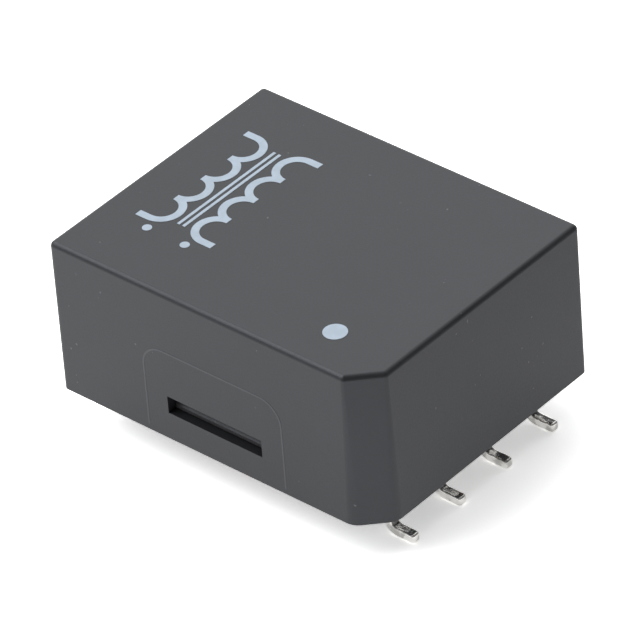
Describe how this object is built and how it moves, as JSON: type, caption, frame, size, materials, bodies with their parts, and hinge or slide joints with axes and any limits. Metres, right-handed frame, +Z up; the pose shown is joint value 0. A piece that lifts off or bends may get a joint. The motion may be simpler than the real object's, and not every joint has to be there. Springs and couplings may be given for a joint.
{
  "type": "surface-mount pcb transformer",
  "caption": "Surface-mount transformer: a wound toroid in a black moulded case on a base plate with two rows of gull-wing terminals.",
  "frame": {"origin": "on the board, at the middle of the part's footprint", "axes": "+X along the case from one terminal row to the other, towards terminals 1 to 4; +Y along the rows, away from terminal 1 and the cut corner; +Z up, away from the board"},
  "size_m": [0.0146, 0.0116, 0.0078],
  "materials": {
    "case_plastic": "fine matte moulded surface",
    "plate_plastic": "satin moulded surface",
    "adhesive": "smooth black silicone",
    "core_coating": "glossy black coating on ferrite",
    "green_enamel": "glossy green enamel on copper wire",
    "gold_enamel": "glossy clear enamel on copper wire",
    "red_enamel": "glossy red enamel on copper wire",
    "tinned_terminal": "bright tinned",
    "solder": "bright lumpy solder"
  },
  "bodies": {
    "root": {"case_shell": "case_plastic", "base_plate": "plate_plastic", "core_adhesive": "adhesive", "toroid_core": "core_coating", "winding_green": "green_enamel", "winding_gold_a": "gold_enamel", "winding_gold_b": "gold_enamel", "winding_red": "red_enamel", "terminal_1": "tinned_terminal", "terminal_2": "tinned_terminal", "terminal_3": "tinned_terminal", "terminal_4": "tinned_terminal", "terminal_5": "tinned_terminal", "terminal_6": "tinned_terminal", "terminal_7": "tinned_terminal", "terminal_8": "tinned_terminal", "solder_joint_1": "solder", "solder_joint_2": "solder", "solder_joint_3": "solder", "solder_joint_4": "solder", "solder_joint_5": "solder", "solder_joint_6": "solder", "solder_joint_7": "solder", "solder_joint_8": "solder"}
  },
  "joints": []
}
